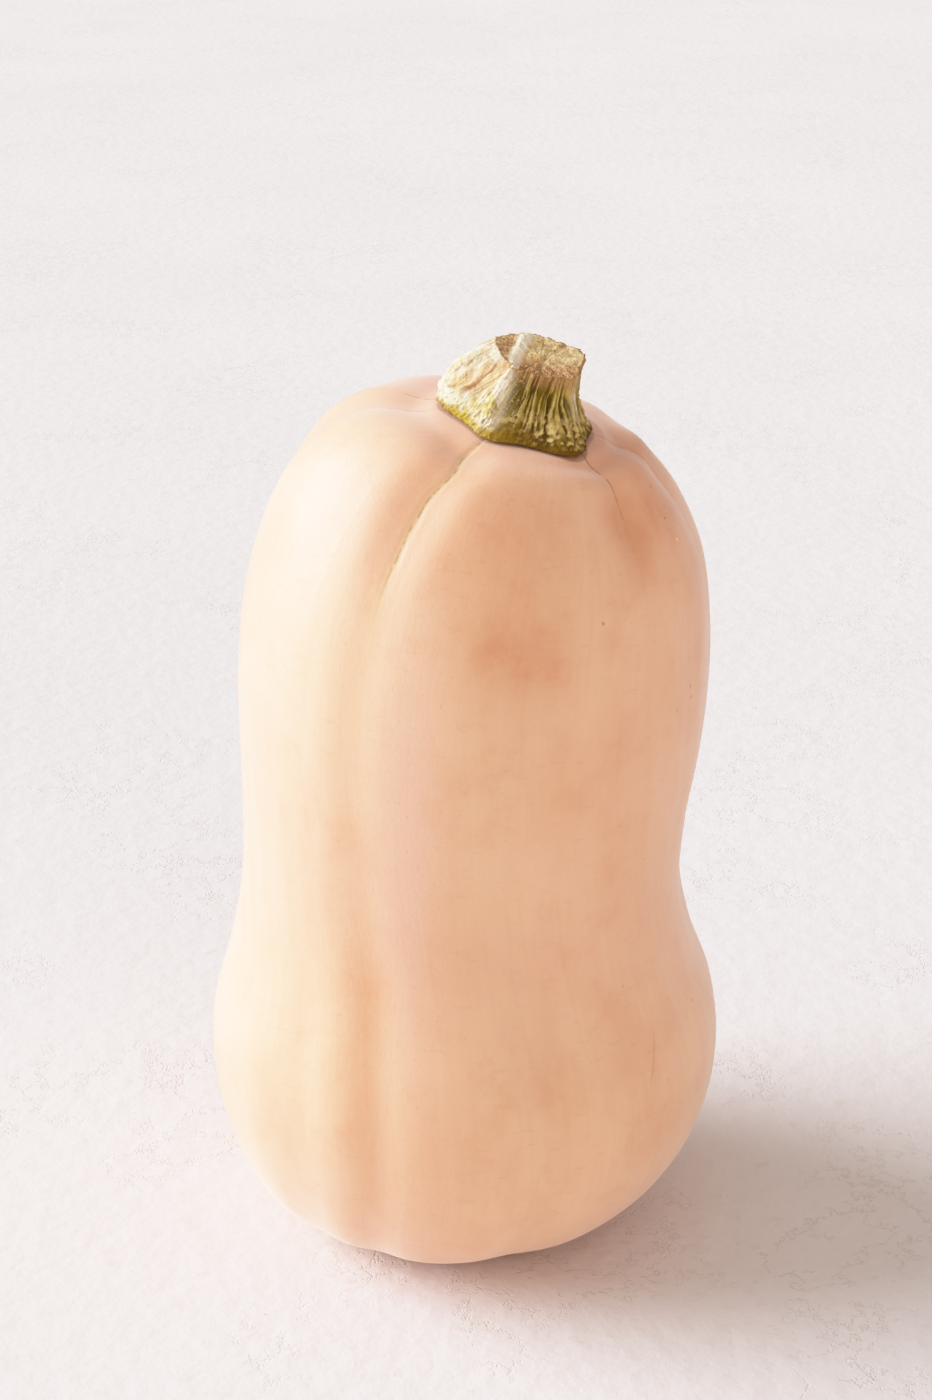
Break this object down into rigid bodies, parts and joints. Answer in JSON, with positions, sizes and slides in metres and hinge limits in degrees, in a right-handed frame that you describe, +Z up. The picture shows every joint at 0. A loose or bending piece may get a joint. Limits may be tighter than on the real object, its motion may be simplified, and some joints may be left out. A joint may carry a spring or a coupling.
{
  "type": "butternut squash",
  "caption": "Whole pale butternut squash standing upright on its blossom end, with shallow lengthwise furrows and a short ribbed dry stem.",
  "frame": {"origin": "on the ground under the middle of the bulb, at the bottom centre of the bounding box", "axes": "+Z up through the stem end; -Y is the side with the deepest furrow, turned to the viewer; +X is the viewer's right, the side the stem leans to"},
  "size_m": [0.1267, 0.1248, 0.23],
  "materials": {
    "skin": "satin waxy fruit skin, pale peach",
    "stem": "dry, corky, cream ribs over olive green"
  },
  "bodies": {
    "root": {"fruit": "skin", "stem": "stem"}
  },
  "joints": []
}
